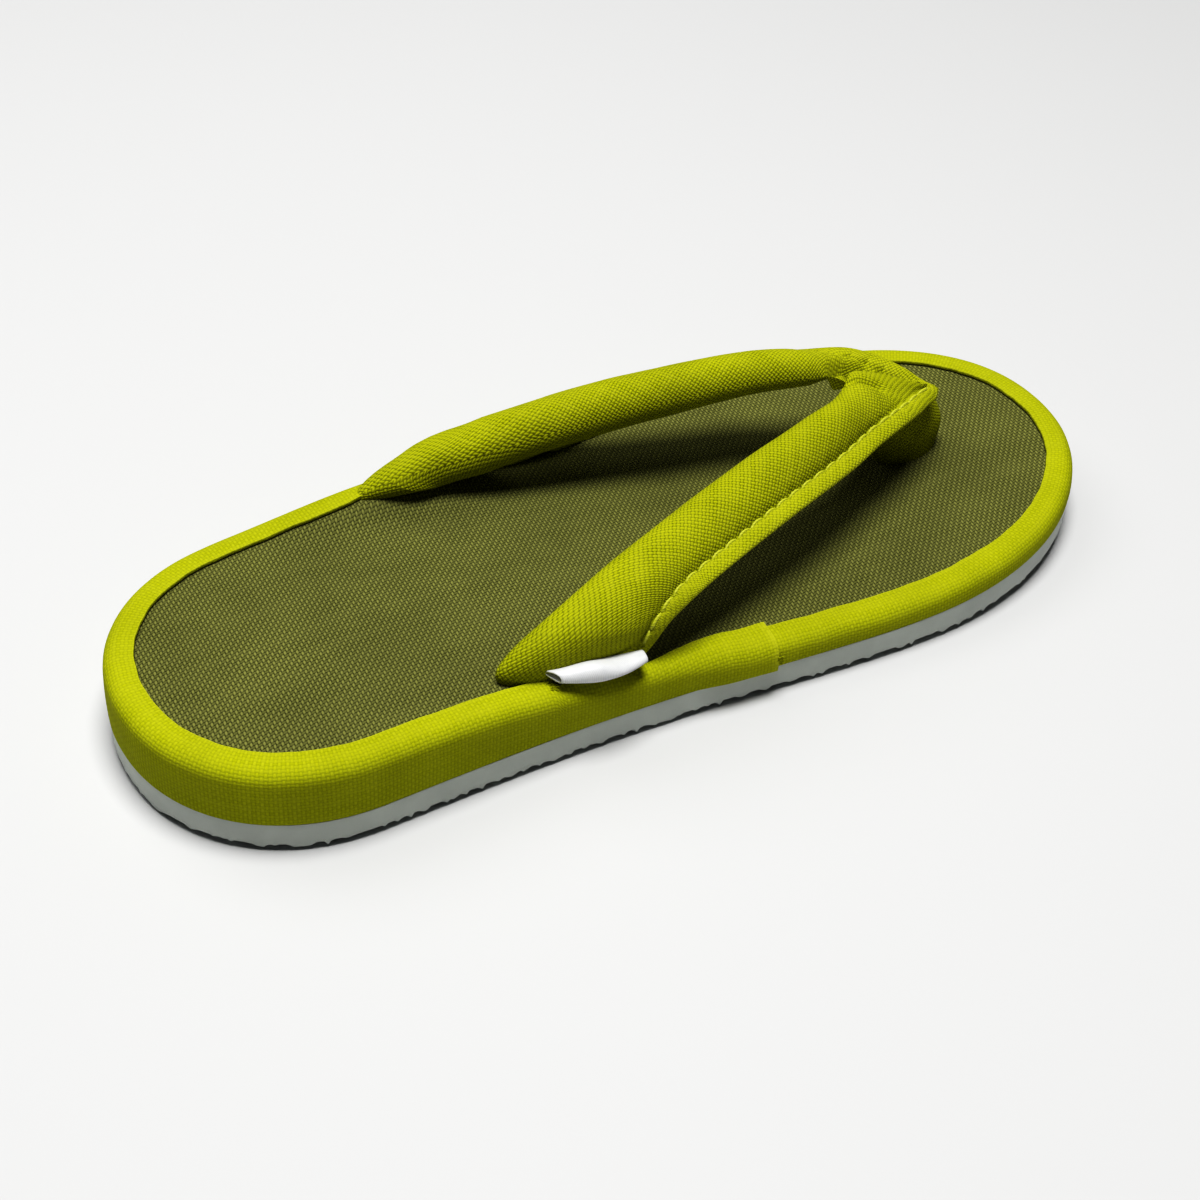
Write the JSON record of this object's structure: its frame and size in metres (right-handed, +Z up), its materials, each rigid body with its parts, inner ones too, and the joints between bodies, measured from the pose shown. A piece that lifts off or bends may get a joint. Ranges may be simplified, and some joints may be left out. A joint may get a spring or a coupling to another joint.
{
  "type": "zori sandal",
  "caption": "Flat indoor thong sandal: foam outsole, wedge footbed in canvas, cloth binding over the rim, stuffed V strap on a toe post.",
  "frame": {"origin": "on the floor, under the middle of the sole's length and width", "axes": "+X from heel to toe, +Y to the wearer's left, +Z up from the floor"},
  "size_m": [0.27, 0.105, 0.0486],
  "materials": {
    "grey_foam": "closed-cell foam, smooth at the side, crinkled tread",
    "olive_canvas": "plain-woven cotton canvas over a foam pad",
    "lime_canvas": "plain-woven cotton canvas",
    "white_tape": "plain satin tape, blank"
  },
  "bodies": {
    "root": {"outsole": "grey_foam", "footbed": "olive_canvas", "binding_toe": "lime_canvas", "binding_heel": "lime_canvas", "strap": "lime_canvas", "toe_post": "lime_canvas", "side_tag": "white_tape"}
  },
  "joints": []
}
